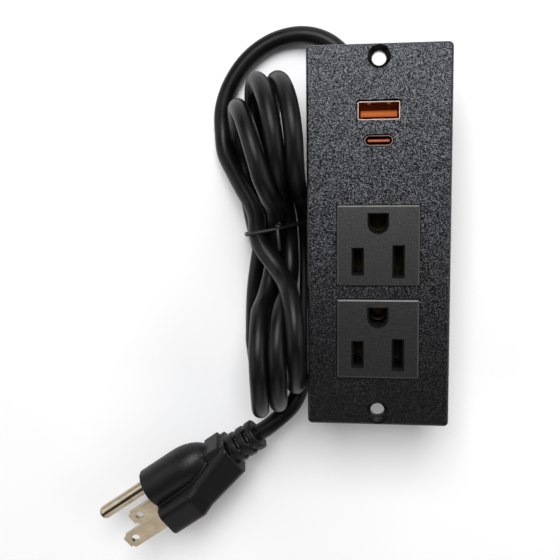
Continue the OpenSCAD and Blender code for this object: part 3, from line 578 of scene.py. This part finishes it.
def board_material():
    """Green solder mask over faint tracks."""
    m = Mat("board_mask", Roughness=0.35)
    cells = m.cells(260)
    tracks = m.noise(1.0, detail=1.0, rough=0.4, coord=m.stretched((420, 90, 90)))
    mask = m.ramp(cells, [(0.0, (0.01, 0.10, 0.05)), (1.0, (0.02, 0.16, 0.08))])
    copper = m.ramp(cells, [(0.0, (0.02, 0.20, 0.10)), (1.0, (0.03, 0.26, 0.13))])
    m.colour(m.mix(m.spread(tracks, 0.0, 1.0, 0.46, 0.54), mask, copper))
    m.bump(tracks, strength=0.15, distance=0.05)
    return m.m


def wire(name, dark, light):
    """A wire's smooth insulation."""
    return grained(name, dark, light, grain=900, rough=(0.36, 0.46), bump=(0.05, 0.05))


MATERIALS = {
    "plate": plate_material(),
    "outlet": grained("outlet_matt", (0.0054, 0.0053, 0.0053), (0.0085, 0.0084, 0.0084), grain=1500,
                      rough=(0.33, 0.42), bump=(0.16, 0.08), tone=80, specular=0.70, lean=0.06),
    "rear": grained("housing_matt", (0.006, 0.006, 0.0066), (0.013, 0.013, 0.014), grain=1400,
                    rough=(0.42, 0.56), bump=(0.16, 0.1), tone=50, specular=0.42),
    # The resin is darkened far below its pale colour: painted shade at the bottom of the slots
    "insulator": grained("insulator_resin", (0.016, 0.013, 0.011), (0.028, 0.024, 0.020), grain=900,
                         rough=(0.5, 0.62), bump=(0.08, 0.06)),
    # The contacts' brass is darkened far below brass's own colour: painted shade for the deep slots it
    # sits in
    "brass": metal("contact_brass", (0.022, 0.016, 0.008), (0.045, 0.033, 0.016), (0.30, 0.42),
                   DRAWN_ACROSS),
    "steel": metal("screw_steel", (0.30, 0.235, 0.21), (0.40, 0.325, 0.295), (0.36, 0.48), DRAWN_UP),
    # The shells' wall colours are painted reflections of their tongues; the USB-C rim is a darker copy
    # of the steel, painted shade
    "shell_a": shell_material("shell_a_steel", (0.30, 0.235, 0.21), (0.60, 0.34, 0.22), metallic=1.0),
    "shell_c": shell_material("shell_c_steel", (0.14, 0.10, 0.085), (0.46, 0.085, 0.040), metallic=0.5),
    "tongue_a": tongue_material("tongue_orange", (0.34, 0.072, 0.008), (0.40, 0.086, 0.008),
                                middle=38.85, half=0.95),
    "tongue_c": tongue_material("tongue_red", (0.28, 0.045, 0.014), (0.44, 0.105, 0.058),
                                middle=30.65, half=0.35),
    "contact": metal("contact_gold", (0.75, 0.52, 0.16), (0.88, 0.66, 0.27), (0.18, 0.26),
                     DRAWN_UP_FINE),
    "board": board_material(),
    "ferrite": grained("ferrite_grey", (0.030, 0.030, 0.034), (0.060, 0.060, 0.066), grain=1800,
                       rough=(0.5, 0.65), bump=(0.2, 0.1)),
    "tape": coil_material(),
    "can": grained("can_sleeve", (0.012, 0.016, 0.060), (0.020, 0.026, 0.090), grain=700,
                   rough=(0.3, 0.4), bump=(0.05, 0.05)),
    "chip": grained("chip_resin", (0.008, 0.008, 0.009), (0.016, 0.016, 0.017), grain=2400,
                    rough=(0.5, 0.62), bump=(0.15, 0.05)),
    "wire_black": wire("wire_black", (0.006, 0.006, 0.006), (0.012, 0.012, 0.012)),
    "wire_white": wire("wire_white", (0.74, 0.74, 0.71), (0.84, 0.84, 0.81)),
    "wire_green": wire("wire_green", (0.010, 0.16, 0.035), (0.018, 0.23, 0.055)),
    "cord": cord_material(),
    "plug": grained("plug_moulding", (0.0026, 0.0027, 0.0028), (0.0062, 0.0063, 0.0065), grain=2300,
                    rough=(0.34, 0.46), bump=(0.20, 0.09), tone=120, specular=0.26, lean=0.06),
    "prong": metal("prong_nickel", (0.37, 0.315, 0.225), (0.50, 0.44, 0.335), (0.12, 0.24),
                   DRAWN_ALONG_PLUG, -PLUG_YAW),
    "tie": grained("tie_coating", (0.004, 0.004, 0.004), (0.010, 0.010, 0.010), grain=1800,
                   rough=(0.4, 0.5), bump=(0.05, 0.04)),
}

MATERIAL_OF = {
    "face_plate": "plate", "rear_housing": "rear", "housing_screws": "steel",
    "socket_upper": "outlet", "socket_lower": "outlet",
    "contact_base": "insulator", "hot_bus": "brass", "neutral_bus": "brass", "ground_bus": "brass",
    "usb_board": "board", "board_screws": "steel", "board_links": "brass",
    "usb_a_shell": "shell_a", "usb_a_tongue": "tongue_a", "usb_a_contacts": "contact",
    "usb_c_shell": "shell_c", "usb_c_tongue": "tongue_c", "usb_c_contacts": "contact",
    "transformer_core": "ferrite", "transformer_coil": "tape", "capacitors": "can",
    "charger_chips": "chip",
    "hot_wire": "wire_black", "neutral_wire": "wire_white", "ground_wire": "wire_green",
    "strain_relief": "plug", "cord_lead": "cord", "cord_hank": "cord", "cord_tail": "cord",
    "twist_tie": "tie",
    "plug_body": "plug", "plug_bridge": "insulator", "plug_hot_blade": "prong",
    "plug_neutral_blade": "prong", "plug_ground_pin": "prong",
}
# Moulded pieces shown with soft edges: grid in millimetres and rounds of smoothing
SOFTENED = {"plug_body": (0.32, 6), "strain_relief": (0.3, 3)}
EASE_SHARE = 0.5


def paint(obj, material):
    obj.data.materials.clear()
    obj.data.materials.append(material)


def soften(obj, grid, rounds):
    """Shows a moulded piece with the soft edges of its mould."""
    voxels = obj.modifiers.new("grid", "REMESH")
    voxels.mode = "VOXEL"
    voxels.voxel_size = grid * MM
    voxels.use_smooth_shade = True
    ease = obj.modifiers.new("ease", "SMOOTH")
    ease.factor = EASE_SHARE
    ease.iterations = rounds


for name, key in MATERIAL_OF.items():
    paint(NODES[name], MATERIALS[key])
for name, (grid, rounds) in SOFTENED.items():
    soften(NODES[name], grid, rounds)
for piece, key in ((cord, "cord"), (tie, "tie")):
    paint(piece, MATERIALS[key])
    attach(piece, BODY)

# Stage: the floor, and for each light its name, place, target, size, power and colour
FLOOR_SIZE = 6.0
FLOOR_DARK, FLOOR_LIGHT = (0.91, 0.91, 0.91), (0.95, 0.95, 0.95)
LIGHTS = (
    ("top", (0.0, 0.46, 0.80), (0.0, 0.05, 0.0), 0.55, 8.5, (0.985, 0.99, 1.0)),
    ("left", (-0.85, 0.0, 0.48), (-0.05, 0.0, 0.0), 0.80, 2.6, (1.0, 1.0, 1.0)),
    ("right", (0.85, 0.05, 0.48), (0.05, 0.0, 0.0), 0.80, 3.4, (1.0, 1.0, 1.0)),
    ("back", (0.05, 0.95, 0.45), (0.0, 0.0, 0.02), 0.80, 2.0, (1.0, 1.0, 1.0)),
    ("front", (0.0, -0.85, 0.36), (0.0, -0.05, 0.0), 0.70, 1.4, (1.0, 0.95, 0.90)),
)
SKY_COLOUR, SKY_STRENGTH = (0.96, 0.97, 1.0, 1.0), 0.06

bpy.ops.mesh.primitive_plane_add(size=FLOOR_SIZE, location=(0, 0, 0))
floor = bpy.context.object
floor.name = "floor"
paper = Mat("floor_paper", Roughness=0.7)
paper.colour(paper.between(paper.slow(9), FLOOR_DARK, FLOOR_LIGHT))
paint(floor, paper.m)


def area(name, place, target, size, power, colour):
    """A square soft light at a place, turned to a target."""
    data = bpy.data.lights.new(name, "AREA")
    data.shape = "SQUARE"
    data.size = size
    data.energy = power
    data.color = colour
    obj = bpy.data.objects.new(name, data)
    bpy.context.collection.objects.link(obj)
    obj.location = place
    obj.rotation_euler = (Vector(target) - Vector(place)).to_track_quat("-Z", "Y").to_euler()


for light in LIGHTS:
    area(*light)
world = bpy.data.worlds.new("studio")
world.use_nodes = True
sky = world.node_tree.nodes["Background"]
sky.inputs["Color"].default_value = SKY_COLOUR
sky.inputs["Strength"].default_value = SKY_STRENGTH
bpy.context.scene.world = world
bpy.context.scene.view_settings.view_transform = "Standard"
